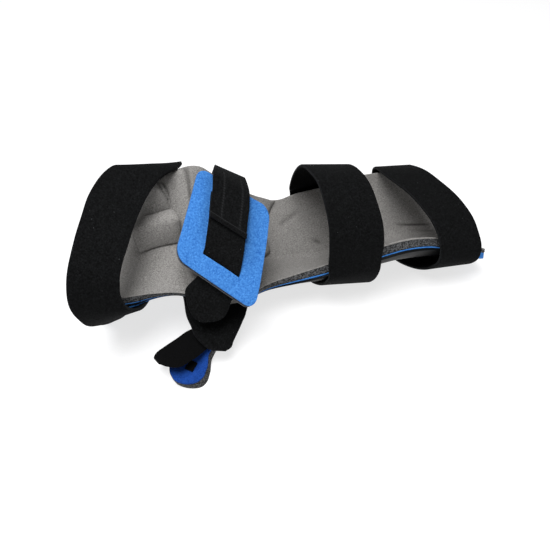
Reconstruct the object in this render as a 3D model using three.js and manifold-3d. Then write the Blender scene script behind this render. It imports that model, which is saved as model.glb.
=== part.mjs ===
import * as THREE from 'three';
import Module from 'manifold-3d';

// Resting hand splint for the right hand, in millimetres, +Z up.
// +X runs to the elbow, -Y is the thumb side and Z = 0 is the floor it lies on.

// Thickness of each sheet in the tray, from the inside out
const FACE = 1.2;
const FOAM = 6.0;
const BACKING = 1.3;
const SHELL = 2.2;
const PATCH = 1.4;
const GAP = 0.3;

// Depth below the inside face at which each sheet starts
const FOAM_AT = FACE + GAP;
const BACKING_AT = FOAM_AT + FOAM + GAP;
const SHELL_AT = BACKING_AT + BACKING + 1.5 * GAP;
const OUTSIDE = SHELL_AT + SHELL;

const STRAP = 2.6;
const HAND_STRAP = 2.0;
const THUMB_STRAP = 1.8;

// Tray sections from the elbow end to the fingertips: the rim on the thumb side, the lowest line
// and the rim on the far side; nearFull and farFull run from 1 for a straight wall to 3 for a box
const TRAY_COLUMNS = [
  'nearX', 'nearY', 'nearZ', 'keelX', 'keelY', 'keelZ', 'farX', 'farY', 'farZ', 'nearFull', 'farFull',
];
const TRAY = [
  [224.5, -46, 28, 221, 8, 15.1, 213, 52, 37, 1.7, 1.4],
  [201, -43, 42, 205, 8, 14.8, 201, 53, 48, 1.6, 1.3],
  [182, -42.5, 49, 184, 8, 14.8, 183, 52, 56, 1.45, 1.3],
  [162, -42, 56, 162, 8, 14.8, 162, 51, 61.5, 1.4, 1.3],
  [138, -42, 59.5, 138, 8, 15.0, 139, 50, 63.5, 1.35, 1.3],
  [112, -41.5, 57, 112, 8, 15.4, 113, 50, 60, 1.35, 1.3],
  [68, -38, 47.5, 68, 8, 15.4, 71, 50, 57.5, 1.4, 1.25],
  [42, -38, 44, 42, 6, 24.5, 53, 50, 55, 1.3, 1.2],
  [14, -40, 41.5, 14, 4, 37, 26, 49, 67, 1.3, 1.15],
  [-10, -45, 34, -10, 2, 48, 2, 49, 87, 1.3, 1.15],
  [-32, -46, 40, -32, 0, 59, -18, 49, 109, 1.3, 1.15],
  [-55, -40, 53.5, -54, 0, 66, -40, 47, 109.5, 1.3, 1.2],
  [-77, -38.5, 59.5, -77, 0, 64, -62, 45, 98, 1.3, 1.3],
  [-102, -37, 61.5, -100, 2, 48, -82, 44, 80, 1.6, 1.4],
  [-116, -31, 56, -115, 5, 29, -98, 41, 58, 1.6, 1.5],
  [-122, -22, 44, -128.5, 8, 4.5, -112, 32, 36, 1.6, 1.5],
];

// Height of the palm insert over the liner from the wrist to the knuckles
const PALM_COLUMNS = ['along', 'near', 'middle', 'far'];
const PALM = [
  [0.0, 4, 5, 4],
  [0.12, 4, 8, 6.5],
  [0.36, 5, 11, 9],
  [0.62, 6, 16, 4],
  [0.8, 6, 15, 3],
  [1.0, 2, 4, 1.5],
];

// Padded pillows between the fingers: feet as stations along and across the tray, then tops, each at
// the fingertip end and the wrist end of the thumb side and of the far side; and how far they swell
const SEPARATORS = {
  finger_separator_near: {
    feet: [[12.2, 0.09], [10.85, 0.08], [12.3, 0.35], [10.97, 0.34]],
    tops: [[-84, 8.5, 89], [-46, 8.5, 90.5], [-79, 22.5, 89], [-49, 22.5, 92.5]],
    swell: 1.4,
  },
  finger_separator_mid: {
    feet: [[12.25, 0.46], [11.04, 0.46], [12.3, 0.64], [11.12, 0.55]],
    tops: [[-79, 32, 110], [-56.5, 30, 109], [-75, 41, 112.5], [-56, 38, 112]],
    swell: 1.2,
  },
  finger_separator_far: {
    feet: [[12.3, 0.7], [11.15, 0.6], [12.3, 0.88], [11.28, 0.72]],
    tops: [[-72, 41.5, 96], [-50.5, 35.5, 100], [-69.5, 43.5, 102], [-51, 40.5, 105]],
    swell: 0.4,
  },
};

// Straps: the middle of the cloth at the fingertip-side edge and at the elbow-side edge, over the
// top from the thumb side; each goes round under the tray at the stations given with it, and the two
// on the forearm hang slack below the thumb side
const LOOP_COLUMNS = ['distalX', 'distalY', 'distalZ', 'proximalX', 'proximalY', 'proximalZ'];
const MID_STRAP = {
  under: { distal: [6.05, 6.05, 6.05], proximal: [5.02, 5.02, 5.02] },
  top: [
    [66, -48.5, 56, 111, -55, 58],
    [66, -48, 70, 111, -55, 74],
    [66, -45.5, 84, 111, -50, 87],
    [66, -39, 100, 111, -40, 97],
    [66, -27, 111, 111, -27, 104.5],
    [66, -11, 117, 111, -10, 108],
    [66, 7, 114.5, 111, 8, 105.5],
    [66, 22, 109, 111, 23, 99],
    [66, 34, 98, 111, 36, 89],
    [66, 44, 82.5, 111, 47, 77],
    [66, 52, 65, 111, 55, 66],
  ],
  slack: [
    [65, -11, 3.6, 111, -14, 3.2],
    [66, -28, 14.5, 111, -36, 12],
    [66.5, -43, 30, 111, -50.5, 30],
    [66.5, -50.5, 44, 111, -56, 46],
  ],
};
const END_STRAP = {
  under: { distal: [2.72, 3.4, 3.3], proximal: [0.42, 1.22, 1.5] },
  top: [
    [168, -53, 55, 210, -55.5, 44],
    [167, -46, 63.5, 210, -45.5, 53.5],
    [165, -35, 70.5, 209, -36, 60.5],
    [162, -20, 74.5, 206.5, -22, 66],
    [159, -2, 76.5, 203, -8, 70],
    [155.5, 16, 75.5, 199, 8, 71.5],
    [153.5, 36, 72, 195, 29, 70.5],
    [155, 53, 66.5, 194, 50.5, 62],
    [157.5, 63.5, 58, 194, 62.5, 53.5],
  ],
  slack: [
    [154, -10, 3, 202.5, -11, 2.2],
    [158, -24, 7, 204, -25, 5],
    [163, -37, 13, 206, -38, 11],
    [167, -49, 24, 207.5, -49.5, 18.5],
    [168.5, -55.5, 38, 209, -57, 31],
  ],
};
const FINGER_STRAP = {
  under: { distal: [14.4, 13.6, 12.8], proximal: [12.75, 11.5, 10.65] },
  top: [
    [-130, -41, 39, -91, -49.5, 48],
    [-136.5, -47, 60, -99, -52, 64],
    [-139.5, -48.5, 78, -102, -50, 76],
    [-136.5, -44.5, 97, -100.5, -47.5, 88],
    [-129, -32, 111, -97, -42, 96],
    [-119, -12, 121, -90, -31, 103.5],
    [-109, 10, 127, -80, -12, 110],
    [-97, 30, 129, -65, 14, 115],
    [-85.5, 43.5, 126.5, -48.5, 33, 117.5],
    [-79, 53, 116, -36, 45, 115.5],
    [-76, 58.5, 97, -30.5, 58, 110.5],
  ],
  slack: [],
};

// Pad on the back of the hand: corners as seen from above, thumb side low
const HAND_PAD_CORNERS = {
  farDistal: [-21, 27, 123],
  farProximal: [29, -5, 92],
  nearProximal: [-6, -74, 51],
  nearDistal: [-57, -33, 88],
};
const HAND_PAD_ROUND = 0.26;
const HAND_PAD_CROWN = 5;
const PAD_LINING = 1.0;
const PAD_FOAM = 4.0;
const PAD_FACE = 1.2;
const SLOT_PLAY = 0.5;

// Thumb rest: middle of its upper side, with half its width, from the palm to the tip
const THUMB_COLUMNS = ['x', 'y', 'z', 'half'];
const THUMB = [
  [-46, -57, 15.5, 12.5],
  [-57, -66, 10.8, 14.5],
  [-63, -76, 9, 16],
  [-66, -84.5, 8.6, 14.3],
  [-68.3, -90, 8.6, 10.5],
  [-69.6, -93, 8.6, 5],
];
const THUMB_FACE = 1.3;
const THUMB_FOAM = 7.0;
const THUMB_LEAN = 3.5;

// Wide band over the root of the thumb rest, from the palm rim down: left and right edges
const THUMB_WRAP = [
  [-56, -47.5, 35, -6, -48, 23.5],
  [-54.5, -57, 31, -11, -57, 25],
  [-54, -64, 29, -18, -65, 21.5],
  [-50, -70, 24, -24, -71.5, 18],
  [-45.5, -74, 20, -27, -75.5, 16],
  [-41, -76, 18, -32, -77.5, 15.5],
];

// Narrow strap over the thumb space: edge by the palm and edge by the thumb tip
const THUMB_LOOP = [
  [-48, -55, 27, -42, -68, 16],
  [-58, -58.5, 29, -54, -77, 18],
  [-68, -62.5, 27.5, -63, -82, 19.5],
  [-77.5, -65, 25, -71, -84.3, 19.5],
  [-85.5, -65.5, 20, -79.5, -80.5, 18],
  [-88, -65.5, 14.5, -85.5, -71.5, 14.2],
  [-85.5, -64, 9.5, -84, -69, 9.2],
  [-80.5, -62.5, 6, -80.5, -67, 5.8],
];

const THUMB_TAB = { x: -61.5, y: -79, z: 9.5, along: 7, across: 9, turn: -0.73, thick: 1.2 };

const manifold = await Module();
manifold.setup();

const group = new THREE.Group();
group.name = 'resting_hand_splint';

const LOOKS = {
  grey: new THREE.MeshStandardMaterial({ color: 0x8d8a88, roughness: 0.95 }),
  foam: new THREE.MeshStandardMaterial({ color: 0x3a3a3c, roughness: 0.95 }),
  blue: new THREE.MeshStandardMaterial({ color: 0x2f7fe6, roughness: 0.9 }),
  black: new THREE.MeshStandardMaterial({ color: 0x151517, roughness: 0.9 }),
  plastic: new THREE.MeshStandardMaterial({ color: 0x7f8286, roughness: 0.5 }),
};

function named(columns, row) {
  return Object.fromEntries(columns.map((name, i) => [name, row[i]]));
}

function vector(x, y, z) {
  return new THREE.Vector3(x, y, z);
}

function addPiece(name, geometry, look) {
  const mesh = new THREE.Mesh(geometry, LOOKS[look]);
  mesh.name = name;
  group.add(mesh);
}

// Closed body between two sheets of points: rows by columns, joined round their edges
function slab(rows, columns, point, ring = false) {
  const place = [];
  for (let side = 0; side < 2; side += 1) {
    for (let i = 0; i < rows; i += 1) {
      for (let j = 0; j < columns; j += 1) {
        const p = point(i, j, side);
        place.push(p.x, p.y, Math.max(p.z, 0));
      }
    }
  }
  const at = (i, j, side) => (side * rows + (i % rows)) * columns + j;
  const faces = [];
  const quad = (a, b, c, d) => faces.push(a, b, c, a, c, d);
  const spans = ring ? rows : rows - 1;
  for (let i = 0; i < spans; i += 1) {
    for (let j = 0; j < columns - 1; j += 1) {
      quad(at(i, j, 0), at(i + 1, j, 0), at(i + 1, j + 1, 0), at(i, j + 1, 0));
      quad(at(i, j, 1), at(i, j + 1, 1), at(i + 1, j + 1, 1), at(i + 1, j, 1));
    }
    const last = columns - 1;
    quad(at(i, 0, 0), at(i, 0, 1), at(i + 1, 0, 1), at(i + 1, 0, 0));
    quad(at(i, last, 0), at(i + 1, last, 0), at(i + 1, last, 1), at(i, last, 1));
  }
  if (!ring) {
    const end = rows - 1;
    for (let j = 0; j < columns - 1; j += 1) {
      quad(at(0, j, 0), at(0, j + 1, 0), at(0, j + 1, 1), at(0, j, 1));
      quad(at(end, j, 0), at(end, j, 1), at(end, j + 1, 1), at(end, j + 1, 0));
    }
  }
  return outward(place, faces);
}

// Geometry with every triangle turned to face out
function outward(place, faces) {
  let volume = 0;
  const at = (k) => vector(place[3 * k], place[3 * k + 1], place[3 * k + 2]);
  for (let f = 0; f < faces.length; f += 3) {
    volume += at(faces[f]).dot(at(faces[f + 1]).cross(at(faces[f + 2])));
  }
  if (volume < 0) {
    faces.reverse();
  }
  const geometry = new THREE.BufferGeometry();
  geometry.setAttribute('position', new THREE.Float32BufferAttribute(place, 3));
  geometry.setIndex(faces);
  return geometry;
}

// Tray surface

const tray = TRAY.map((row) => named(TRAY_COLUMNS, row));
const rail = (side) => new THREE.CatmullRomCurve3(
  tray.map((s) => vector(s[`${side}X`], s[`${side}Y`], s[`${side}Z`])),
  false,
  'centripetal',
);
const RAILS = { near: rail('near'), keel: rail('keel'), far: rail('far') };
const LAST = TRAY.length - 1;

function between(list, key, u) {
  const i = Math.min(Math.max(Math.floor(u), 0), list.length - 2);
  return THREE.MathUtils.lerp(list[i][key], list[i + 1][key], u - i);
}

// Point of the inside face: u counts sections from the elbow, v runs from -1 at the thumb side to 1
function inside(u, v) {
  const side = v < 0 ? 'near' : 'far';
  const full = between(tray, `${side}Full`, u);
  const keel = RAILS.keel.getPoint(u / LAST);
  const rim = RAILS[side].getPoint(u / LAST);
  const turn = Math.min(Math.abs(v), 1) * Math.PI / 2;
  const out = Math.sin(turn) ** (2 / full);
  const up = 1 - Math.max(Math.cos(turn), 0) ** (2 / full);
  return vector(
    THREE.MathUtils.lerp(keel.x, rim.x, out),
    THREE.MathUtils.lerp(keel.y, rim.y, out),
    THREE.MathUtils.lerp(keel.z, rim.z, up),
  );
}

function upright(u, v) {
  const u0 = Math.min(Math.max(u, 0.15), LAST - 0.15);
  const v0 = Math.min(Math.max(v, -0.9), 0.9);
  const along = inside(u0 + 0.15, v0).sub(inside(u0 - 0.15, v0));
  const across = inside(u0, v0 + 0.1).sub(inside(u0, v0 - 0.1));
  return across.cross(along).normalize();
}

// Point at a height over the inside face, or under it where the height is negative
function over(u, v, height) {
  return inside(u, v).addScaledVector(upright(u, v), height);
}

const STEP = 0.5;
const ACROSS_STEP = 0.25;

// Stops from one end to the other, on whole steps in between so that the sheets share their facets
function stops(from, to, step) {
  const list = [from];
  for (let k = Math.floor(from / step) + 1; k * step < to - 0.01; k += 1) {
    if (k * step > from + 0.01) {
      list.push(k * step);
    }
  }
  return [...list, to];
}

// One sheet of the tray between two depths, with how far it reaches to the thumb side at a station
function sheet(top, bottom, from, to, near, far) {
  const along = stops(from, to, STEP);
  const inner = stops(-1, 1, ACROSS_STEP);
  return slab(along.length, inner.length, (i, j, side) => {
    const u = along[i];
    const v = THREE.MathUtils.clamp(inner[j], -near(u), far);
    return over(u, v, -(side ? bottom : top));
  });
}

const whole = () => 1;
const shellRim = (u) => 0.96 - 0.15 * Math.exp(-(((u - 7.4) / 1.5) ** 2));
const patchRim = () => 0.9;

addPiece('liner_face', sheet(0, FACE, 0, LAST, whole, 1), 'grey');
addPiece('liner_foam', sheet(FOAM_AT, FOAM_AT + FOAM, 0, LAST, whole, 1), 'foam');
addPiece('liner_backing', sheet(BACKING_AT, BACKING_AT + BACKING, 0, LAST, whole, 1), 'blue');
addPiece('shell', sheet(SHELL_AT, OUTSIDE, 0.08, LAST - 0.05, shellRim, 0.93), 'plastic');

// Palm insert

const palm = PALM.map((row) => named(PALM_COLUMNS, row));

function palmHeight(p, q) {
  let i = 0;
  while (i < palm.length - 2 && p > palm[i + 1].along) {
    i += 1;
  }
  const t = THREE.MathUtils.smoothstep(p, palm[i].along, palm[i + 1].along);
  const mix = (key) => THREE.MathUtils.lerp(palm[i][key], palm[i + 1][key], t);
  const rim = q < 0 ? mix('near') : mix('far');
  return THREE.MathUtils.lerp(mix('middle'), rim, q * q);
}

const PALM_SEAT = 1.1;
const PALM_STEPS = 11;
const PALM_ACROSS = 9;
addPiece('palm_pad', slab(PALM_STEPS, PALM_ACROSS, (i, j, side) => {
  const p = i / (PALM_STEPS - 1);
  const q = 2 * j / (PALM_ACROSS - 1) - 1;
  const v = THREE.MathUtils.lerp(-0.8, 0.96, (q + 1) / 2);
  const lobes = 0.16 * Math.abs(Math.cos(q * Math.PI)) + 0.23 * Math.exp(-((q / 0.25) ** 2));
  const wrist = 7.75 - 0.5 * q - lobes;
  const farther = Math.max(q, 0);
  const knuckles = 10.78 + 0.35 * farther + 0.35 * farther ** 2;
  const u = THREE.MathUtils.lerp(wrist, knuckles, p);
  const rise = side ? 0 : palmHeight(p, q);
  return over(u, v, PALM_SEAT).add(vector(0, 0, rise));
}), 'grey');

// Finger separators, pillows between the liner and their tops

const PILLOW_ROUND = 0.3;
const PILLOW_SEAT = 0.8;
const PILLOW_STEPS = 4;

// Value inside four corners: fingertip end and wrist end of the thumb side, then of the far side
function inCorners([a, b, c, d], x, y) {
  const near = b.clone().lerp(a, x);
  return near.lerp(d.clone().lerp(c, x), y);
}

for (const [name, { feet, tops, swell }] of Object.entries(SEPARATORS)) {
  const stations = feet.map(([u, v]) => vector(u, v, 0));
  const corners = tops.map((top) => vector(...top));
  const [a, b, c, d] = corners;
  const long = a.clone().add(c).sub(b).sub(d).normalize();
  const wide = c.clone().add(d).sub(a).sub(b).normalize();
  const tall = long.clone().cross(wide).normalize();
  tall.multiplyScalar(Math.sign(tall.z));
  const box = new THREE.BoxGeometry(2, 2, 2, PILLOW_STEPS, PILLOW_STEPS, PILLOW_STEPS);
  const old = box.attributes.position;
  const key = new Map();
  const place = [];
  const index = [];
  for (let k = 0; k < old.count; k += 1) {
    const q = vector(old.getX(k), old.getY(k), old.getZ(k));
    const id = q.toArray().map((n) => Math.round(n * 1e4)).join();
    if (!key.has(id)) {
      key.set(id, place.length / 3);
      const core = q.clone().clampScalar(PILLOW_ROUND - 1, 1 - PILLOW_ROUND);
      q.sub(core).setLength(PILLOW_ROUND).add(core);
      const [x, y, z] = q.toArray().map((n) => (n + 1) / 2);
      const station = inCorners(stations, x, y);
      const p = over(station.x, station.y, PILLOW_SEAT).lerp(inCorners(corners, x, y), z);
      p.addScaledVector(long, swell * q.x * (1 - q.y ** 2) * (1 - q.z ** 2));
      p.addScaledVector(wide, swell * q.y * (1 - q.x ** 2) * (1 - q.z ** 2));
      p.addScaledVector(tall, swell * Math.max(q.z, 0) * (1 - q.x ** 2) * (1 - q.y ** 2));
      place.push(p.x, p.y, p.z);
    }
    index.push(key.get(id));
  }
  addPiece(name, outward(place, [...box.index.array].map((k) => index[k])), 'grey');
}

// Straps

// Band of cloth from the middle lines of its two edges, which may bow between them
function band(table, thick, steps, columns, ring, widen = 0, bow = () => 0) {
  const rows = table.map((row) => named(LOOP_COLUMNS, row));
  const edge = (side) => new THREE.CatmullRomCurve3(
    rows.map((r) => vector(r[`${side}X`], r[`${side}Y`], r[`${side}Z`])),
    ring,
    'centripetal',
  );
  const [distal, proximal] = [edge('distal'), edge('proximal')];
  const spot = (s, w) => {
    const a = distal.getPoint(ring ? s - Math.floor(s) : Math.min(Math.max(s, 0), 1));
    const b = proximal.getPoint(ring ? s - Math.floor(s) : Math.min(Math.max(s, 0), 1));
    const grow = widen / a.distanceTo(b);
    return a.lerp(b, w * (1 + 2 * grow) - grow);
  };
  return slab(steps, columns, (i, j, side) => {
    const s = ring ? i / steps : i / (steps - 1);
    const w = j / (columns - 1);
    const step = 0.25 / steps;
    const along = spot(s + step, w).sub(spot(s - step, w));
    const across = spot(s, 1).sub(spot(s, 0));
    const lift = along.cross(across).normalize();
    const height = bow(s) * 4 * w * (1 - w) + (side ? -0.5 : 0.5) * thick;
    return spot(s, w).addScaledVector(lift, height);
  }, ring);
}

// Rows of a strap laid against the outside of the tray, from the far side to the thumb side
const UNDER_STOPS = [0.97, 0.75, 0.5, 0.25, 0];
const FINGER_STOPS = [...UNDER_STOPS, -0.25, -0.5, -0.75];

function stationAt(three, v) {
  const [near, keel, far] = three;
  return v < 0 ? THREE.MathUtils.lerp(keel, near, -v) : THREE.MathUtils.lerp(keel, far, v);
}

function underTray(stations, reach, depth) {
  return reach.map((v) => [
    ...over(stationAt(stations.distal, v), v, -depth).toArray(),
    ...over(stationAt(stations.proximal, v), v, -depth).toArray(),
  ]);
}

const STRAP_SEAT = 0.7;

function strapLoop(strap, list, extra) {
  const depth = OUTSIDE + extra + STRAP_SEAT + STRAP / 2;
  return [...strap.top, ...underTray(strap.under, list, depth), ...strap.slack];
}

addPiece('mid_strap', band(strapLoop(MID_STRAP, UNDER_STOPS, 2 * GAP), STRAP, 44, 3, true), 'black');
addPiece('end_strap', band(strapLoop(END_STRAP, UNDER_STOPS, 0), STRAP, 36, 3, true), 'black');
const fingerLoop = strapLoop(FINGER_STRAP, FINGER_STOPS, 2 * GAP + PATCH);
addPiece('finger_strap', band(fingerLoop, STRAP, 40, 3, true), 'black');

addPiece('finger_patch', sheet(OUTSIDE + GAP, OUTSIDE + GAP + PATCH, 11, 13.5, patchRim, 0.9), 'blue');

// Hand pad: a runs along the arm and b from the far side to the thumb side, each 0 to 1

const corner = Object.fromEntries(
  Object.entries(HAND_PAD_CORNERS).map(([name, p]) => [name, vector(...p)]),
);

function padFlat(a, b) {
  const far = corner.farDistal.clone().lerp(corner.farProximal, a);
  const near = corner.nearDistal.clone().lerp(corner.nearProximal, a);
  return far.lerp(near, b);
}

const PAD_UP = corner.farProximal.clone().sub(corner.farDistal)
  .cross(corner.nearDistal.clone().sub(corner.farDistal)).normalize();
if (PAD_UP.z < 0) {
  PAD_UP.negate();
}

function onPad(a, b, height) {
  const crown = HAND_PAD_CROWN * (1 - (2 * b - 1) ** 2);
  return padFlat(a, b).addScaledVector(PAD_UP, height + crown);
}

const PAD_STEPS = 13;
const PAD_ACROSS = 5;

function padSheet(top, bottom) {
  return slab(PAD_STEPS, PAD_ACROSS, (i, j, side) => {
    const turn = Math.PI * (i / (PAD_STEPS - 1) - 0.5);
    const row = Math.sin(turn);
    const straight = 1 - HAND_PAD_ROUND;
    const past = Math.max(Math.abs(row) - straight, 0) / HAND_PAD_ROUND;
    const half = straight + HAND_PAD_ROUND * Math.sqrt(Math.max(1 - past * past, 0.02));
    const across = half * (2 * j / (PAD_ACROSS - 1) - 1);
    return onPad((across + 1) / 2, (row + 1) / 2, side ? bottom : top);
  });
}

// Hand strap in two lengths

const ABOVE_PAD = PAD_FACE + GAP + HAND_STRAP / 2;
const BELOW_PAD = -(PAD_FOAM + PAD_LINING + 3 * GAP) - HAND_STRAP / 2;

// The strap lies a little askew on the pad
function padRow(b, height) {
  const [from, to] = [0.19 + 0.135 * b, 0.695 + 0.07 * b];
  return [...onPad(from, b, height).toArray(), ...onPad(to, b, height).toArray()];
}

const HAND_UNDER = { distal: [9.1, 9.1, 9.1], proximal: [7.95, 7.95, 7.95] };

const UPPER_STRAP = [
  padRow(0.47, ABOVE_PAD + HAND_STRAP + GAP),
  padRow(0.3, ABOVE_PAD + HAND_STRAP + GAP),
  padRow(0.15, ABOVE_PAD + HAND_STRAP),
  padRow(0, ABOVE_PAD + 0.6),
  [-5, 43, 110, 20, 37, 95],
  [-3, 55, 101, 23, 54, 80],
  ...underTray(HAND_UNDER, [0.97, 0.75, 0.5, 0.2], OUTSIDE + STRAP_SEAT + GAP + HAND_STRAP / 2),
];
const LOWER_STRAP = [
  padRow(0.2, ABOVE_PAD),
  padRow(0.45, ABOVE_PAD),
  padRow(0.68, ABOVE_PAD),
  padRow(0.78, ABOVE_PAD - 2),
  padRow(0.86, BELOW_PAD + 1.5),
  padRow(0.97, BELOW_PAD - 1),
  [-53.5, -45.5, 62.5, -21, -61, 54],
  [-54, -57, 52.5, -25, -63, 46],
  [-51, -62.5, 46, -29, -65.5, 43],
  [-46, -65, 42.5, -35.5, -66.3, 41.5],
];

const lower = band(LOWER_STRAP, HAND_STRAP, 28, 3, false);
const slotCutter = band(LOWER_STRAP.slice(2, 6), HAND_STRAP + 2 * SLOT_PLAY, 8, 2, false, SLOT_PLAY);
addPiece('hand_strap_upper', band(UPPER_STRAP, HAND_STRAP, 26, 3, false), 'black');
addPiece('hand_strap_lower', lower, 'black');

function solidOf(geometry) {
  return new manifold.Manifold(new manifold.Mesh({
    numProp: 3,
    vertProperties: Float32Array.from(geometry.attributes.position.array),
    triVerts: Uint32Array.from(geometry.index.array),
  }));
}

function geometryOf(solid) {
  const mesh = solid.getMesh();
  return outward(Array.from(mesh.vertProperties), Array.from(mesh.triVerts));
}

const PAD_SHEETS = [
  ['hand_pad_face', PAD_FACE, 0, 'blue'],
  ['hand_pad_foam', -GAP, -GAP - PAD_FOAM, 'foam'],
  ['hand_pad_lining', -2 * GAP - PAD_FOAM, -2 * GAP - PAD_FOAM - PAD_LINING, 'grey'],
];
for (const [name, top, bottom, look] of PAD_SHEETS) {
  addPiece(name, geometryOf(solidOf(padSheet(top, bottom)).subtract(solidOf(slotCutter))), look);
}

// Thumb rest

const WRAP = THUMB_STRAP + 0.6;
const WRAP_UNDER = { distal: [10.8, 10.8, 10.8], proximal: [8.75, 8.75, 8.75] };
const WRAP_SEAT = 2.5;
const wrapRows = underTray(WRAP_UNDER, [-0.6, -0.97], OUTSIDE + WRAP_SEAT + WRAP / 2);
const THUMB_DEPTH = OUTSIDE + 2 * WRAP_SEAT + WRAP + 4 * GAP;
const thumbRoot = [[9.45, -0.5, 12], [9.6, -0.97, 13.5]].map(
  ([u, v, half]) => [...over(u, v, -THUMB_DEPTH).toArray(), half],
);
const thumb = [...thumbRoot, ...THUMB].map((row) => named(THUMB_COLUMNS, row));
const thumbLine = new THREE.CatmullRomCurve3(thumb.map((t) => vector(t.x, t.y, t.z)), false, 'centripetal');
const THUMB_STEPS = 13;
const THUMB_ACROSS = 5;

function onThumb(t, w, height) {
  const ahead = thumbLine.getPoint(Math.min(t + 0.02, 1)).sub(thumbLine.getPoint(Math.max(t - 0.02, 0)));
  const across = vector(-ahead.y, ahead.x, 0).normalize();
  const up = ahead.normalize().clone().cross(across).normalize();
  if (up.z < 0) {
    up.negate();
  }
  const half = between(thumb, 'half', t * (thumb.length - 1));
  return thumbLine.getPoint(t).addScaledVector(across, half * w).addScaledVector(up, height);
}

function thumbSheet(top, bottom, lean = 0) {
  return slab(THUMB_STEPS, THUMB_ACROSS, (i, j, side) => {
    const t = i / (THUMB_STEPS - 1);
    const w = 2 * j / (THUMB_ACROSS - 1) - 1;
    return onThumb(t, w, side ? bottom : top).add(vector(side ? lean * t * t : 0, 0, 0));
  });
}

addPiece('thumb_face', thumbSheet(0, -THUMB_FACE), 'blue');
addPiece('thumb_foam', thumbSheet(-THUMB_FACE - GAP, -THUMB_FACE - GAP - THUMB_FOAM, THUMB_LEAN), 'foam');
const wrapBow = (s) => -2.6 * (1 - THREE.MathUtils.smoothstep(s, 0.1, 0.5));
addPiece('thumb_wrap', band([...wrapRows, ...THUMB_WRAP], WRAP, 18, 5, false, 0, wrapBow), 'black');
addPiece('thumb_strap', band(THUMB_LOOP, THUMB_STRAP, 16, 3, false), 'black');

const tab = new THREE.BoxGeometry(THUMB_TAB.along, THUMB_TAB.across, THUMB_TAB.thick);
tab.rotateZ(THUMB_TAB.turn);
tab.translate(THUMB_TAB.x, THUMB_TAB.y, THUMB_TAB.z + THUMB_TAB.thick / 2);
addPiece('thumb_tab', tab, 'black');

const bounds = new THREE.Box3().setFromObject(group);
const middle = bounds.getCenter(vector(0, 0, 0));
for (const mesh of group.children) {
  mesh.geometry.translate(-middle.x, -middle.y, -bounds.min.z);
}

export default group;
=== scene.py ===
import math

import bpy
import numpy as np
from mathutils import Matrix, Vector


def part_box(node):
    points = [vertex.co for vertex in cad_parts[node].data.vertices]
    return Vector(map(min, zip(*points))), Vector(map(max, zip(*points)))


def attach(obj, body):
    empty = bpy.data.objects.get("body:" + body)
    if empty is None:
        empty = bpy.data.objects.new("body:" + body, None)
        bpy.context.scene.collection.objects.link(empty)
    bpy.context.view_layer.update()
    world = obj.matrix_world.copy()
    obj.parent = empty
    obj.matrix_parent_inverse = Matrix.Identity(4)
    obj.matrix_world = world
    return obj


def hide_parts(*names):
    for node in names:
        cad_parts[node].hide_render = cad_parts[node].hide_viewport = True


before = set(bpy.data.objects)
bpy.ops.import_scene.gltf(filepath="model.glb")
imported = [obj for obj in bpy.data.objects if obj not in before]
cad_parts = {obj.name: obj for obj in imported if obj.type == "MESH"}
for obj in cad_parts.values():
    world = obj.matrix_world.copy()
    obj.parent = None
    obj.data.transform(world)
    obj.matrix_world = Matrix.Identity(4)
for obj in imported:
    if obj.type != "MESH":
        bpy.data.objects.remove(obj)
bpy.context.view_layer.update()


# Studio: a pale floor of backlit acrylic, one soft lamp high over the hand, a weak one in front on the
# thumb side, and the camera of someone looking down at the splint on a table.

scene = bpy.context.scene
scene.view_settings.view_transform = "Standard"
bpy.ops.object.select_all(action="DESELECT")


def linear(colour):
    parts = [int(colour[i:i + 2], 16) / 255 for i in (1, 3, 5)]
    return [c / 12.92 if c <= 0.04045 else ((c + 0.055) / 1.055) ** 2.4 for c in parts] + [1.0]


def new_material(name):
    material = bpy.data.materials.new(name)
    material.use_nodes = True
    material.node_tree.nodes.clear()
    return material


def add_node(material, kind, inputs, **settings):
    node = material.node_tree.nodes.new(kind)
    for name, value in settings.items():
        setattr(node, name, value)
    for name, value in inputs.items():
        if isinstance(value, bpy.types.NodeSocket):
            material.node_tree.links.new(value, node.inputs[name])
        else:
            node.inputs[name].default_value = value
    return node


# Backlit matt acrylic: nearly white with a soft, even tooth, and a glow that thins the shadows
acrylic = new_material("backlit_acrylic")
spot = add_node(acrylic, "ShaderNodeTexCoord", {}).outputs["Object"]
TOOTH_PER_M = 900.0
tooth = add_node(acrylic, "ShaderNodeTexNoise", {"Vector": spot, "Scale": TOOTH_PER_M, "Detail": 2.0})
bump = add_node(acrylic, "ShaderNodeBump", {
    "Height": tooth.outputs["Fac"], "Strength": 0.1, "Distance": 0.0002})
glow = add_node(acrylic, "ShaderNodeBsdfPrincipled", {
    "Base Color": linear("#a4a4a5"), "Roughness": 0.9, "Normal": bump.outputs["Normal"],
    "Emission Color": linear("#ffffff"), "Emission Strength": 0.7})
add_node(acrylic, "ShaderNodeOutputMaterial", {"Surface": glow.outputs["BSDF"]})

FLOOR_M = 30.0
bpy.ops.mesh.primitive_plane_add(size=FLOOR_M)
floor = bpy.context.active_object
floor.name = "floor"
floor.data.materials.append(acrylic)

ROOM_LIGHT = 0.24
world = bpy.data.worlds.new("studio")
scene.world = world
world.use_nodes = True
world.node_tree.nodes["Background"].inputs["Color"].default_value = linear("#ffffff")
world.node_tree.nodes["Background"].inputs["Strength"].default_value = ROOM_LIGHT

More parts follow.
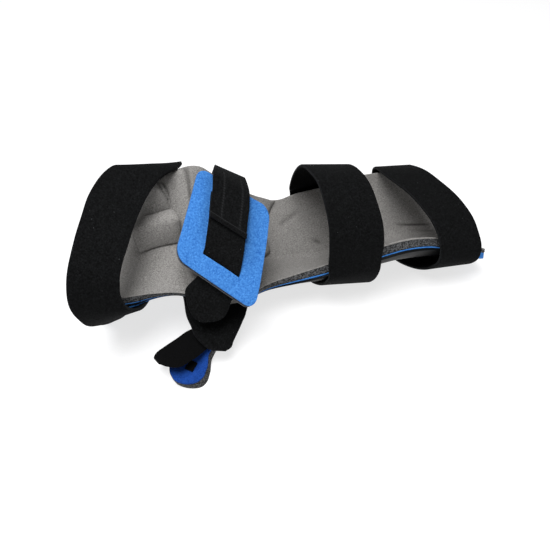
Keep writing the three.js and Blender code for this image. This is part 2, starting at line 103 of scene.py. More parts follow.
# Lamps: place, point that they face, width and power
LAMPS = [
    ("key_lamp", (-0.22, -0.12, 1.20), (-0.04, 0.0, 0.05), 0.8, 20.0),
    ("fill_lamp", (-0.10, -1.10, 0.70), (0.0, 0.0, 0.05), 0.9, 1.5),
]
for name, place, target, width, power in LAMPS:
    bpy.ops.object.light_add(type="AREA", location=place)
    lamp = bpy.context.active_object
    lamp.name = name
    lamp.data.size = width
    lamp.data.energy = power
    aim = [t - p for t, p in zip(target, place)]
    flat = math.hypot(aim[0], aim[1])
    lamp.rotation_euler = (math.atan2(flat, -aim[2]), 0, math.atan2(-aim[0], aim[1]))

CAMERA_PLACE = (-0.1294, -0.3607, 0.4032)
CAMERA_ELEVATION = 45
CAMERA_AZIMUTH = -18
SENSOR_MM = 36
FOCAL_PX = 600
IMAGE_PX = 550
bpy.ops.object.camera_add(
    location=CAMERA_PLACE,
    rotation=(math.radians(90 - CAMERA_ELEVATION), 0, math.radians(CAMERA_AZIMUTH)),
)
camera = bpy.context.active_object
camera.data.sensor_width = SENSOR_MM
camera.data.lens = SENSOR_MM * FOCAL_PX / IMAGE_PX
camera.data.clip_start = 0.01
scene.camera = camera


# Shell: the stiff bent frame under the padding, a moulded dark plastic plate 2 mm thick that runs
# from the forearm trough over the raised palm and down into the finger pan.

# Tray sections from the elbow to the fingertips, in millimetres: rim on the thumb side, lowest line
# and rim on the far side (x, y, z each), then how full the two walls are
TRAY = np.array([
    [224.5, -46, 28, 221, 8, 15.1, 213, 52, 37, 1.7, 1.4],
    [201, -43, 42, 205, 8, 14.8, 201, 53, 48, 1.6, 1.3],
    [182, -42.5, 49, 184, 8, 14.8, 183, 52, 56, 1.45, 1.3],
    [162, -42, 56, 162, 8, 14.8, 162, 51, 61.5, 1.4, 1.3],
    [138, -42, 59.5, 138, 8, 15.0, 139, 50, 63.5, 1.35, 1.3],
    [112, -41.5, 57, 112, 8, 15.4, 113, 50, 60, 1.35, 1.3],
    [68, -38, 47.5, 68, 8, 15.4, 71, 50, 57.5, 1.4, 1.25],
    [42, -38, 44, 42, 6, 24.5, 53, 50, 55, 1.3, 1.2],
    [14, -40, 41.5, 14, 4, 37, 26, 49, 67, 1.3, 1.15],
    [-10, -45, 34, -10, 2, 48, 2, 49, 87, 1.3, 1.15],
    [-32, -46, 40, -32, 0, 59, -18, 49, 109, 1.3, 1.15],
    [-55, -40, 53.5, -54, 0, 66, -40, 47, 109.5, 1.3, 1.2],
    [-77, -38.5, 59.5, -77, 0, 64, -62, 45, 98, 1.3, 1.3],
    [-102, -37, 61.5, -100, 2, 48, -82, 44, 80, 1.6, 1.4],
    [-116, -31, 56, -115, 5, 29, -98, 41, 58, 1.6, 1.5],
    [-122, -22, 44, -128.5, 8, 4.5, -112, 32, 36, 1.6, 1.5],
])
LAST = len(TRAY) - 1
RIBS = np.linspace(-1, 1, 9)
TRAY_ROWS = 150
TRAY_COLUMNS = 48

# Stations at which the rim dips or is pressed, the share of the thickness that the press takes, and how
# far along the elbow corner is rounded
WRIST = 7.4
FINGER_PAN = 13.1
RIM_PRESS = 0.4
CORNER = 0.3

# Depth under the liner's inner face at which each layer starts
FOAM_AT = 1.5
BACKING_AT = 7.8
SHELL_AT = 9.55
OUTSIDE = 11.75

# The tables count from the wrist; the small tab on the thumb rest ties them to the frame
TAB_MIDDLE = np.array([-61.5, -79.0, 10.1])
tab_low, tab_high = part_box("thumb_tab")
TO_FRAME = 500 * (np.array(tab_low) + np.array(tab_high)) - TAB_MIDDLE


def smooth_line(points, t, closed=False):
    """Points at t, 0 to 1, on a smooth line through the given points, or on a line for each row of them."""
    points, t = np.asarray(points, float), np.asarray(t, float)
    n = points.shape[-2]
    if closed:
        s = np.mod(t, 1.0) * n
        i = np.minimum(np.floor(s).astype(int), n - 1)
        ends = np.concatenate([points[..., -1:, :], points, points[..., :2, :]], -2)
    else:
        s = np.clip(t, 0, 1) * (n - 1)
        i = np.minimum(np.floor(s).astype(int), n - 2)
        before = 2 * points[..., :1, :] - points[..., 1:2, :]
        after = 2 * points[..., -1:, :] - points[..., -2:-1, :]
        ends = np.concatenate([before, points, after], -2)
    w = (s - i)[..., None]
    if points.ndim == 2:
        a, b, c, d = (ends[i + k] for k in range(4))
    else:
        a, b, c, d = (np.take_along_axis(ends, (i + k)[..., None], -2) for k in range(4))
    ab, bc, cd = (
        np.maximum(((q - p) ** 2).sum(-1, keepdims=True) ** 0.25, 1e-4)
        for p, q in ((a, b), (b, c), (c, d))
    )
    start = ((b - a) / ab - (c - a) / (ab + bc) + (c - b) / bc) * bc
    end = ((c - b) / bc - (d - b) / (bc + cd) + (d - c) / cd) * bc
    return b + start * w + (3 * (c - b) - 2 * start - end) * w ** 2 + (2 * (b - c) + start + end) * w ** 3


def hump(x, middle, width):
    """A smooth rise of one round the middle, nothing further off."""
    return np.exp(-(((x - middle) / width) ** 2))


def tray_inside(u, v):
    """Inner face of the liner: u counts the sections, v runs from -1 at the thumb side to 1."""
    u, v = np.broadcast_arrays(np.asarray(u, float), np.asarray(v, float))
    near, keel, far = (smooth_line(TRAY[:, k:k + 3], u / LAST) for k in (0, 3, 6))
    full = np.where(v < 0, np.interp(u, range(LAST + 1), TRAY[:, 9]), np.interp(u, range(LAST + 1), TRAY[:, 10]))
    turn = np.minimum(np.abs(v), 1) * np.pi / 2
    out = np.sin(turn) ** (2 / full)
    up = 1 - np.maximum(np.cos(turn), 0) ** (2 / full)
    rim = np.where((v < 0)[..., None], near, far)
    return keel + (rim - keel) * np.stack([out, out, up], -1)


def unit(vectors):
    return vectors / np.maximum(np.linalg.norm(vectors, axis=-1, keepdims=True), 1e-9)


def tray_over(u, v, height):
    """Point at a height over the inner face, or under it where the height is negative."""
    u, v = np.broadcast_arrays(np.asarray(u, float), np.asarray(v, float))
    u0, v0 = np.clip(u, 0.15, LAST - 0.15), np.clip(v, -0.9, 0.9)
    along = tray_inside(u0 + 0.15, v0) - tray_inside(u0 - 0.15, v0)
    across = tray_inside(u0, v0 + 0.1) - tray_inside(u0, v0 - 0.1)
    return tray_inside(u, v) + unit(np.cross(across, along)) * np.asarray(height)[..., None]


def tray_point(u, v, height):
    """As tray_over, on smooth ribs that have no crease along the lowest line."""
    ribs = tray_over(np.asarray(u, float)[..., None], RIBS, height)
    return smooth_line(ribs, ((np.asarray(v, float) + 1) / 2)[..., None])[..., 0, :]


def tray_layer(u, near, far, columns, depth):
    """Rows of points on a layer of the tray, one row for each station u. The layers are pressed thin
    along the rim at the wrist and in the finger pan."""
    thin = RIM_PRESS * (hump(u, WRIST, 1.6) + hump(u, FINGER_PAN, 1.2))
    depth = depth * (1 - thin[:, None] * np.interp(RIBS, (-1, -0.5), (1, 0)))
    v = -near[:, None] + (far + near[:, None]) * np.linspace(0, 1, columns)
    return smooth_line(tray_over(u[:, None], RIBS, -depth), (v + 1) / 2)


def bevel_edges(piece, width_mm, segments=2):
    edge = piece.modifiers.new("edge", "BEVEL")
    edge.width = width_mm / 1000
    edge.segments = segments
    edge.limit_method = "ANGLE"
    edge.angle_limit = math.radians(50)
    bpy.ops.object.modifier_apply(modifier=edge.name)
    bpy.ops.object.shade_smooth_by_angle(angle=math.radians(45))


def lay_sheet(name, top, bottom, edge_mm, ring=False, hole=None, edge_slot=0, marks=None):
    """A grid is extruded once for its thickness, and its points are laid on the two faces given in
    millimetres. A ring's first and last rows meet; hole names the cells that are cut out. The faces
    take the first and second materials and the rim the one of edge_slot; marks are kept with the points
    for the cloth's painted shade, in creases and other shaded places, and to show its stitching."""
    rows, columns = top.shape[:2]
    bpy.ops.object.select_all(action="DESELECT")
    bpy.ops.mesh.primitive_grid_add(x_subdivisions=columns - 1, y_subdivisions=rows - 1, size=2)
    piece = bpy.context.active_object
    piece.name = piece.data.name = name

    def cells():
        at = np.empty(len(piece.data.vertices) * 3)
        piece.data.vertices.foreach_get("co", at)
        at = at.reshape(-1, 3)
        row = np.rint((at[:, 1] + 1) / 2 * (rows - 1)).astype(int)
        column = np.rint((at[:, 0] + 1) / 2 * (columns - 1)).astype(int)
        return row, column, at[:, 2] > 0.5

    def delete_faces(chosen):
        bpy.ops.object.mode_set(mode="EDIT")
        bpy.ops.mesh.select_mode(type="FACE")
        bpy.ops.mesh.select_all(action="DESELECT")
        bpy.ops.object.mode_set(mode="OBJECT")
        piece.data.polygons.foreach_set("select", chosen)
        bpy.ops.object.mode_set(mode="EDIT")
        bpy.ops.mesh.delete(type="FACE")
        bpy.ops.object.mode_set(mode="OBJECT")

    if hole is not None:
        row, column, _ = cells()
        delete_faces([
            hole(min(row[i] for i in face.vertices), min(column[i] for i in face.vertices))
            for face in piece.data.polygons
        ])
    bpy.ops.object.mode_set(mode="EDIT")
    bpy.ops.mesh.select_all(action="SELECT")
    bpy.ops.mesh.extrude_region_move(TRANSFORM_OT_translate={"value": (0, 0, 1)})
    bpy.ops.object.mode_set(mode="OBJECT")
    row, column, upper = cells()
    if ring:
        delete_faces([
            len({row[i] for i in face.vertices}) == 1 and row[face.vertices[0]] in (0, rows - 1)
            for face in piece.data.polygons
        ])
        row, column, upper = cells()
    for face in piece.data.polygons:
        sides = {bool(upper[i]) for i in face.vertices}
        face.material_index = edge_slot if len(sides) == 2 else 0 if True in sides else 1
    place = np.where(upper[:, None], top[row, column], bottom[row, column])
    place[:, 2] = np.maximum(place[:, 2] + TO_FRAME[2], 0) - TO_FRAME[2]
    piece.data.vertices.foreach_set("co", ((place + TO_FRAME) / 1000).ravel())
    for mark, values in (marks or {}).items():
        piece.data.attributes.new(mark, "FLOAT", "POINT").data.foreach_set("value", values[row, column])
    bpy.ops.object.mode_set(mode="EDIT")
    bpy.ops.mesh.select_all(action="SELECT")
    bpy.ops.mesh.remove_doubles(threshold=0.00001)
    bpy.ops.mesh.normals_make_consistent(inside=False)
    bpy.ops.object.mode_set(mode="OBJECT")
    bevel_edges(piece, edge_mm)
    return piece


def fasten(piece, slot, nodes, *materials):
    """Gives a piece its materials, puts it on the splint and lets it stand for its solids."""
    for material in materials:
        piece.data.materials.append(material)
    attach(piece, "root")
    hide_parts(*nodes)
    return piece


# Polypropylene sheet, moulded: satin, with a fine pebbled skin and faint rubbed streaks
shell_plastic = new_material("moulded_polypropylene")
spot = add_node(shell_plastic, "ShaderNodeTexCoord", {}).outputs["Object"]
PEBBLE_MM = 0.9
pebble = add_node(shell_plastic, "ShaderNodeTexNoise", {
    "Vector": spot, "Scale": 1000 / PEBBLE_MM, "Detail": 2.0, "Roughness": 0.5})
RUBS_PER_M = 28.0
rub = add_node(shell_plastic, "ShaderNodeTexNoise", {
    "Vector": spot, "Scale": RUBS_PER_M, "Detail": 4.0, "Roughness": 0.6})
tone = add_node(shell_plastic, "ShaderNodeMix", {
    0: rub.outputs["Fac"], 6: linear("#070808"), 7: linear("#101113")}, data_type="RGBA")
gloss = add_node(shell_plastic, "ShaderNodeMapRange", {
    "Value": rub.outputs["Fac"], "To Min": 0.38, "To Max": 0.55})
bump = add_node(shell_plastic, "ShaderNodeBump", {
    "Height": pebble.outputs["Fac"], "Strength": 0.25, "Distance": 0.0002})
surface = add_node(shell_plastic, "ShaderNodeBsdfPrincipled", {
    "Base Color": tone.outputs[2], "Roughness": gloss.outputs["Result"], "Specular IOR Level": 0.08,
    "Normal": bump.outputs["Normal"]})
add_node(shell_plastic, "ShaderNodeOutputMaterial", {"Surface": surface.outputs["BSDF"]})

# The rim stays a little below the liner's, dips at the wrist and is rounded off at the elbow
SHELL_NEAR = 0.966
SHELL_FAR = 0.93
u = np.linspace(0.08, LAST - 0.05, TRAY_ROWS)
shell_rim = SHELL_NEAR - 0.15 * hump(u, WRIST, 1.5) - 0.5 * hump(u, 0, CORNER)
shell = lay_sheet(
    "shell_plate",
    tray_layer(u, shell_rim, SHELL_FAR, TRAY_COLUMNS, SHELL_AT),
    tray_layer(u, shell_rim, SHELL_FAR, TRAY_COLUMNS, OUTSIDE),
    0.7,
)
fasten(shell, "shell_plastic", ["shell"], shell_plastic)


# Finger patch: a blue piece of napped loop cloth glued under the finger pan, which the finger strap
# grips on its way round.


def cut_size(face):
    """Largest width and length and the area of a laid sheet, in metres."""
    width = np.linalg.norm(np.diff(face, axis=1), axis=2).sum(1).max()
    length = np.linalg.norm(np.diff(face, axis=0), axis=2).sum(0).max()
    a, b = face[1:, 1:] - face[:-1, :-1], face[1:, :-1] - face[:-1, 1:]
    area = np.linalg.norm(np.cross(a, b), axis=2).sum() / 2
    return (width / 1000, length / 1000), min(area, width * length) / 1e6


def napped_cloth(name, dark, light, pale, grain_mm, patch_mm, sheen_weight, sheen_colour, lint=None):
    """Cloth with a raised nap: a fine grain of fibre ends over soft cloudy patches, with painted shade
    darkening it where the points are marked for shade and paler thread where they are marked so."""
    material = new_material(name)
    spot = add_node(material, "ShaderNodeTexCoord", {}).outputs["Object"]
    grain = add_node(material, "ShaderNodeTexNoise", {
        "Vector": spot, "Scale": 1000 / grain_mm, "Detail": 3.0, "Roughness": 0.65})
    patch = add_node(material, "ShaderNodeTexNoise", {
        "Vector": spot, "Scale": 1000 / patch_mm, "Detail": 3.0, "Roughness": 0.55})
    fibre = add_node(material, "ShaderNodeMapRange", {
        "Value": grain.outputs["Fac"], "From Min": 0.3, "From Max": 0.7})
    cloud = add_node(material, "ShaderNodeMapRange", {
        "Value": patch.outputs["Fac"], "From Min": 0.35, "From Max": 0.7, "To Max": 0.6})
    colour = add_node(material, "ShaderNodeMix", {
        0: fibre.outputs["Result"], 6: linear(dark), 7: linear(light)}, data_type="RGBA")
    colour = add_node(material, "ShaderNodeMix", {
        0: cloud.outputs["Result"], 6: colour.outputs[2], 7: linear(pale)}, data_type="RGBA")
    if lint:
        seeds = add_node(material, "ShaderNodeTexVoronoi", {"Vector": spot, "Scale": 1000 / lint["apart_mm"]})
        speck = add_node(material, "ShaderNodeMapRange", {
            "Value": seeds.outputs["Distance"], "From Min": lint["share"], "From Max": lint["share"] * 1.6,
            "To Min": 0.8, "To Max": 0.0})
        colour = add_node(material, "ShaderNodeMix", {
            0: speck.outputs["Result"], 6: colour.outputs[2], 7: linear(lint["colour"])}, data_type="RGBA")
    # Painted shade: the colour is multiplied darker where the points are marked for it, in creases, under and
    # beside other parts.
    painted_shade_node = add_node(material, "ShaderNodeAttribute", {}, attribute_name="painted_shade")
    colour = add_node(material, "ShaderNodeMix", {
        0: painted_shade_node.outputs["Fac"], 6: colour.outputs[2], 7: linear("#5c5a58")},
        data_type="RGBA", blend_type="MULTIPLY")
    thread = add_node(material, "ShaderNodeAttribute", {}, attribute_name="thread")
    colour = add_node(material, "ShaderNodeMix", {
        0: thread.outputs["Fac"], 6: colour.outputs[2], 7: linear("#4a4b4d")}, data_type="RGBA")
    height = add_node(
        material, "ShaderNodeMath", {0: grain.outputs["Fac"], 1: patch.outputs["Fac"]}, operation="ADD")
    bump = add_node(material, "ShaderNodeBump", {
        "Height": height.outputs["Value"], "Strength": 0.6, "Distance": grain_mm / 2500})
    surface = add_node(material, "ShaderNodeBsdfPrincipled", {
        "Base Color": colour.outputs[2], "Roughness": 0.95, "Specular IOR Level": 0.06,
        "Sheen Weight": sheen_weight, "Sheen Roughness": 0.5, "Sheen Tint": linear(sheen_colour),
        "Normal": bump.outputs["Normal"]})
    add_node(material, "ShaderNodeOutputMaterial", {"Surface": surface.outputs["BSDF"]})
    return material


# Brushed nylon loop in bright blue: a cloudy, felted nap that is paler where the loops stand up.
# The loops are about 0.4 mm; they are drawn at 1.5 mm, so that they show.
blue_loop = napped_cloth("blue_brushed_nylon_loop", "#1c509a", "#4f8fd6", "#3c77bd", 1.5, 4.0, 0.06, "#9cc6ff")

PATCH_MM = 1.4
PATCH_SPAN = (11, 13.5)
PATCH_EDGE = 0.9
PATCH_COLUMNS = 40
u = np.linspace(*PATCH_SPAN, 60)
patch_rim = np.full(len(u), PATCH_EDGE)
patch_face = tray_layer(u, patch_rim, PATCH_EDGE, PATCH_COLUMNS, OUTSIDE + 0.3 + PATCH_MM)
patch = lay_sheet(
    "finger_pan_patch", patch_face,
    tray_layer(u, patch_rim, PATCH_EDGE, PATCH_COLUMNS, OUTSIDE + 0.15), 0.4)
fasten(patch, "blue_loop", ["finger_patch"], blue_loop, blue_loop)
flat, area = cut_size(patch_face)


# Liner: one laminated pad that lines the whole tray, a grey brushed face on 6 mm of charcoal foam
# with a thin blue loop cloth behind. Its raw cut edge shows all three layers along the rim.


def ripples(points, length_mm, seed):
    """Soft uneven swells of about one, from a few crossing waves."""
    draw = np.random.default_rng(seed)
    total = np.zeros(points.shape[:-1])
    for _ in range(8):
        way = unit(draw.normal(size=3))
        wave = length_mm * draw.uniform(0.7, 1.7)
        total += np.sin(points @ way * (2 * np.pi / wave) + draw.uniform(0, 2 * np.pi))
    return total / 3


def valley(points, start, end, width_mm):
    """How deep a crease between two points is at each point, from 0 to 1."""
    line = end - start
    share = np.clip(((points - start) @ line) / (line @ line), 0, 1)
    away = np.linalg.norm(points - start - share[..., None] * line, axis=-1)
    return hump(away, 0, width_mm) * np.sin(np.pi * np.clip(share * 0.9 + 0.05, 0, 1)) ** 0.5


# The foam's edge is cut back at the wrist, and the backing is turned up over it at the elbow corner
TURN_UP_MM = 5.0
BACKING_NEAR = 0.978
BACKING_FAR = 0.955
u = np.linspace(0, LAST, TRAY_ROWS)
rim = np.ones(len(u))
skive = 0.06 * hump(u, WRIST, 2)
turned_up = TURN_UP_MM * hump(u, 0, CORNER)[:, None] * np.interp(RIBS, (-1, -0.75), (1, 0))
backing_rim = BACKING_NEAR * rim - skive
backing_face = tray_layer(u, backing_rim, BACKING_FAR, TRAY_COLUMNS, SHELL_AT - 0.12)
backing = lay_sheet(
    "liner_backing_cloth", backing_face,
    tray_layer(u, backing_rim, BACKING_FAR, TRAY_COLUMNS, BACKING_AT + 0.6 - turned_up), 0.3)
fasten(backing, "blue_loop", ["liner_backing"], blue_loop, blue_loop)
flat, area = cut_size(backing_face)

# Cross-linked polyethylene foam, cut: charcoal with pale cell walls and open dark pores.
# The cells are about 0.5 mm; they are drawn at 1.3 mm so that they show as speckle.
foam = new_material("cut_polyethylene_foam")
spot = add_node(foam, "ShaderNodeTexCoord", {}).outputs["Object"]
CELL_MM = 1.3
cells = add_node(foam, "ShaderNodeTexVoronoi", {"Vector": spot, "Scale": 1000 / CELL_MM})
GRIT_PER_M = 1500.0
grit = add_node(foam, "ShaderNodeTexNoise", {"Vector": spot, "Scale": GRIT_PER_M, "Detail": 2.0})
wall = add_node(foam, "ShaderNodeMapRange", {
    "Value": cells.outputs["Distance"], "From Min": 0.3, "From Max": 0.7})
tone = add_node(foam, "ShaderNodeMix", {
    0: wall.outputs["Result"], 6: linear("#020202"), 7: linear("#68696b")}, data_type="RGBA")
tone = add_node(foam, "ShaderNodeMix", {
    0: grit.outputs["Fac"], 6: tone.outputs[2], 7: linear("#141516")}, data_type="RGBA")
bump = add_node(foam, "ShaderNodeBump", {
    "Height": wall.outputs["Result"], "Strength": 0.7, "Distance": 0.0004})
surface = add_node(foam, "ShaderNodeBsdfPrincipled", {
    "Base Color": tone.outputs[2], "Roughness": 0.9, "Specular IOR Level": 0.3, "Normal": bump.outputs["Normal"]})
add_node(foam, "ShaderNodeOutputMaterial", {"Surface": surface.outputs["BSDF"]})

liner_foam = lay_sheet(
    "liner_foam_pad", tray_layer(u, rim, 0.975, TRAY_COLUMNS, FOAM_AT - 0.13),
    tray_layer(u, rim - skive, 0.965, TRAY_COLUMNS, BACKING_AT + 0.5 - turned_up), 0.5)
fasten(liner_foam, "foam", ["liner_foam"], foam, foam)

# Brushed polyester knit in warm grey: matt, with a short nap and faint cloudy wear.
# The nap is about 0.4 mm; it is drawn at 1.0 mm, the finest that shows.
grey_knit = napped_cloth("grey_brushed_polyester_knit", "#585654", "#9f9d9a", "#807e7c", 1.0, 7.0, 0.06, "#ffffff")

# Creases where the pad was pressed: ends as stations along and across the tray, depth, width
CREASES = [
    (6.9, 0.54, 6.0, 0.66, 0.7, 2.2),
    (5.72, 0.31, 5.58, 0.25, 0.9, 2.0),
    (2.75, 0.26, 1.25, 0.13, 1.2, 1.3),
    (2.2, 0.08, 0.85, -0.09, 0.5, 1.8),
]
FACE_ROWS = 300
FACE_COLUMNS = 120
u = np.linspace(0, LAST, FACE_ROWS)
rim = np.ones(len(u))
face_top = tray_layer(u, rim, 1, FACE_COLUMNS, 0)
lift = unit(face_top - tray_layer(u, rim, 1, FACE_COLUMNS, 2))
height = 0.28 * ripples(face_top, 42, 5) + 0.1 * ripples(face_top, 13, 6)
# Painted shade: each crease is also darkened in the cloth's colour, a little narrower than its dent.
painted_shade = np.zeros(height.shape)
for u0, v0, u1, v1, depth, width in CREASES:
    start, end = tray_point([u0, u1], [v0, v1], 0)
    height -= depth * valley(face_top, start, end, width)
    painted_shade += 0.7 * depth * valley(face_top, start, end, width * 0.8)
face_top = face_top + lift * np.clip(height, -1.1, 0.4)[..., None]
liner_face = lay_sheet(
    "liner_face_cloth", face_top, tray_layer(u, rim, 1, FACE_COLUMNS, FOAM_AT - 0.15), 0.45,
    marks={"painted_shade": np.clip(painted_shade, 0, 1)})
fasten(liner_face, "liner_fabric", ["liner_face"], grey_knit, grey_knit)
flat, area = cut_size(face_top)


# Palm insert: a loose padded pillow of the same grey knit under the hollow of the hand. Two lobes
# meet the wrist, and a seam sets off the roll at the knuckles that carries the finger blocks.

# Share of the way from the wrist to the knuckles, then the height at the thumb side, middle and far side
PALM = np.array([
    [0.0, 4, 5, 4],
    [0.12, 4, 8, 6.5],
    [0.36, 5, 11, 9],
    [0.62, 6, 16, 5],
    [0.8, 6, 15, 4.5],
    [1.0, 2, 4, 1.5],
])
PALM_SEAT = 1.0
PALM_NEAR = -0.8
PALM_WIDE = 1.76
ROLL_AT = 0.79
p = np.linspace(0, 1, 90)
q = np.linspace(-1, 1, 70)
palm_base = []
palm_rise = []
for share in p:
    i = min(max(int(np.searchsorted(PALM[:, 0], share)) - 1, 0), len(PALM) - 2)
    t = np.clip((share - PALM[i, 0]) / (PALM[i + 1, 0] - PALM[i, 0]), 0, 1)
    near, middle, far = PALM[i, 1:] + (PALM[i + 1, 1:] - PALM[i, 1:]) * (t * t * (3 - 2 * t))
    palm_rise.append(middle + (np.where(q < 0, near, far) - middle) * q * q)
    wrist = 7.75 - 0.5 * q - 0.16 * np.abs(np.cos(q * np.pi)) - 0.23 * hump(q, 0, 0.25)
    knuckles = 10.78 + 0.35 * np.maximum(q, 0) + 0.35 * np.maximum(q, 0) ** 2
    stations = wrist + (knuckles - wrist) * share
    v = PALM_NEAR + PALM_WIDE * (q + 1) / 2
    palm_base.append(tray_point(stations, v, PALM_SEAT))
palm_base, palm_rise = np.array(palm_base), np.array(palm_rise)
P, Q = np.meshgrid(p, q, indexing="ij")
rounding = np.minimum(1, (np.minimum(1 - np.abs(Q), 0.12) / 0.12)) ** 0.5 * 0.75 + 0.25
rounding *= np.minimum(1, np.minimum(P, 0.05) / 0.05) ** 0.5 * 0.65 + 0.35
rounding *= np.sqrt(np.clip(1 - ((P - 0.9) / 0.1).clip(0, 1) ** 2 * 0.9, 0, 1))
palm_rise = palm_rise * rounding
seam = hump(P, ROLL_AT, 0.02) * np.clip((Q - 0.15) / 0.3, 0, 1)
palm_rise -= 2.2 * seam
palm_rise += 0.5 * ripples(palm_base, 26, 11) * np.clip(palm_rise / 6, 0, 1)
palm_top = palm_base + np.stack([np.zeros_like(palm_rise)] * 2 + [np.maximum(palm_rise, 0.8)], -1)
# Painted shade: a thin dark line along the wrist edge and along the seam at the knuckles.
palm_painted_shade = 0.4 * hump(P, 0, 0.012) + 0.5 * seam
palm = lay_sheet("palm_insert", palm_top, palm_base, 0.4, marks={"painted_shade": palm_painted_shade})
fasten(palm, "liner_fabric", ["palm_pad"], grey_knit, grey_knit)


# Finger separators: soft stuffed pillows of the grey knit that stand between the fingers, sewn shut
# at the fingertip end and held to the liner at their foot.

# Feet as stations along and across the tray, then tops (x, y, z), each at the fingertip end and the
# wrist end of the thumb side and of the far side; and how far the faces swell
SEPARATORS = {
    "finger_separator_near": (
        [[12.2, 0.09], [10.75, 0.08], [12.3, 0.35], [10.87, 0.34]],
        [[-84, 8.5, 89], [-43, 8, 91], [-79, 22.5, 89], [-46, 22, 93]], 1.4),
    "finger_separator_mid": (
        [[12.25, 0.46], [11.04, 0.46], [12.3, 0.64], [11.12, 0.55]],
        [[-79, 32, 110], [-56.5, 30, 109], [-75, 41, 112.5], [-56, 38, 112]], 1.2),
    "finger_separator_far": (
        [[12.3, 0.7], [11.15, 0.6], [12.3, 0.88], [11.28, 0.72]],
        [[-72, 41.5, 96], [-50.5, 35.5, 100], [-69.5, 43.5, 102], [-51, 40.5, 105]], 0.4),
}
PILLOW_ROUND = 0.3
PILLOW_CUTS = 40
PILLOW_SEAM = 0.93
for number, (name, (feet, tops, swell)) in enumerate(SEPARATORS.items()):
    bpy.ops.object.select_all(action="DESELECT")
    bpy.ops.mesh.primitive_cube_add(size=2)
    pillow = bpy.context.active_object
    pillow.name = pillow.data.name = name.replace("separator", "pillow")
    bpy.ops.object.mode_set(mode="EDIT")
    bpy.ops.mesh.select_all(action="SELECT")
    bpy.ops.mesh.subdivide(number_cuts=PILLOW_CUTS)
    bpy.ops.object.mode_set(mode="OBJECT")
    box = np.empty(len(pillow.data.vertices) * 3)
    pillow.data.vertices.foreach_get("co", box)
    box = box.reshape(-1, 3)
    core = np.clip(box, PILLOW_ROUND - 1, 1 - PILLOW_ROUND)
    box = core + PILLOW_ROUND * unit(box - core)
    ahead, far, up = (box.T + 1) / 2
    shares = np.stack([ahead * (1 - far), (1 - ahead) * (1 - far), ahead * far, (1 - ahead) * far], -1)
    stations, tops = shares @ np.array(feet), np.array(tops, float)
    foot = tray_point(stations[:, 0], stations[:, 1], 0.6)
    place = foot + (shares @ tops - foot) * up[:, None]
    long = unit(tops[0] + tops[2] - tops[1] - tops[3])
    wide = unit(tops[2] + tops[3] - tops[0] - tops[1])
    tall = unit(np.cross(long, wide))
    open_face = 1 - box ** 2
    place += swell * np.outer(box[:, 0] * open_face[:, 1] * open_face[:, 2], long)
    place += swell * np.outer(box[:, 1] * open_face[:, 0] * open_face[:, 2], wide)
    crown = np.maximum(box[:, 2], 0) * open_face[:, 0] * open_face[:, 1]
    place += swell * np.outer(crown, tall * np.sign(tall[2]))
    soft = 0.35 * ripples(place, 14, 20 + number) + 0.5 * ripples(place, 34, 30 + number)
    soft += 0.8 * hump(box[:, 0], PILLOW_SEAM, 0.035)
    place = place + unit(place - place.mean(0)) * (soft * up)[:, None]
    pillow.data.vertices.foreach_set("co", ((place + TO_FRAME) / 1000).ravel())
    # Painted shade: the fingertip end face and the foot of each pillow are darkened in the cloth's colour.
    shade = 0.5 * np.clip((box[:, 0] - 0.94) / 0.05, 0, 1) + 0.5 * hump(up, 0, 0.07)
    pillow.data.attributes.new("painted_shade", "FLOAT", "POINT").data.foreach_set("value", shade)
    bpy.ops.object.mode_set(mode="EDIT")
    bpy.ops.mesh.select_all(action="SELECT")
    bpy.ops.mesh.normals_make_consistent(inside=False)
    bpy.ops.object.mode_set(mode="OBJECT")
    bpy.ops.object.shade_smooth()
    fasten(pillow, "liner_fabric", [name], grey_knit)


# Forearm and finger straps: wide black loop webbing, napped outside and smooth inside, which goes
# right round the tray and closes on itself underneath.

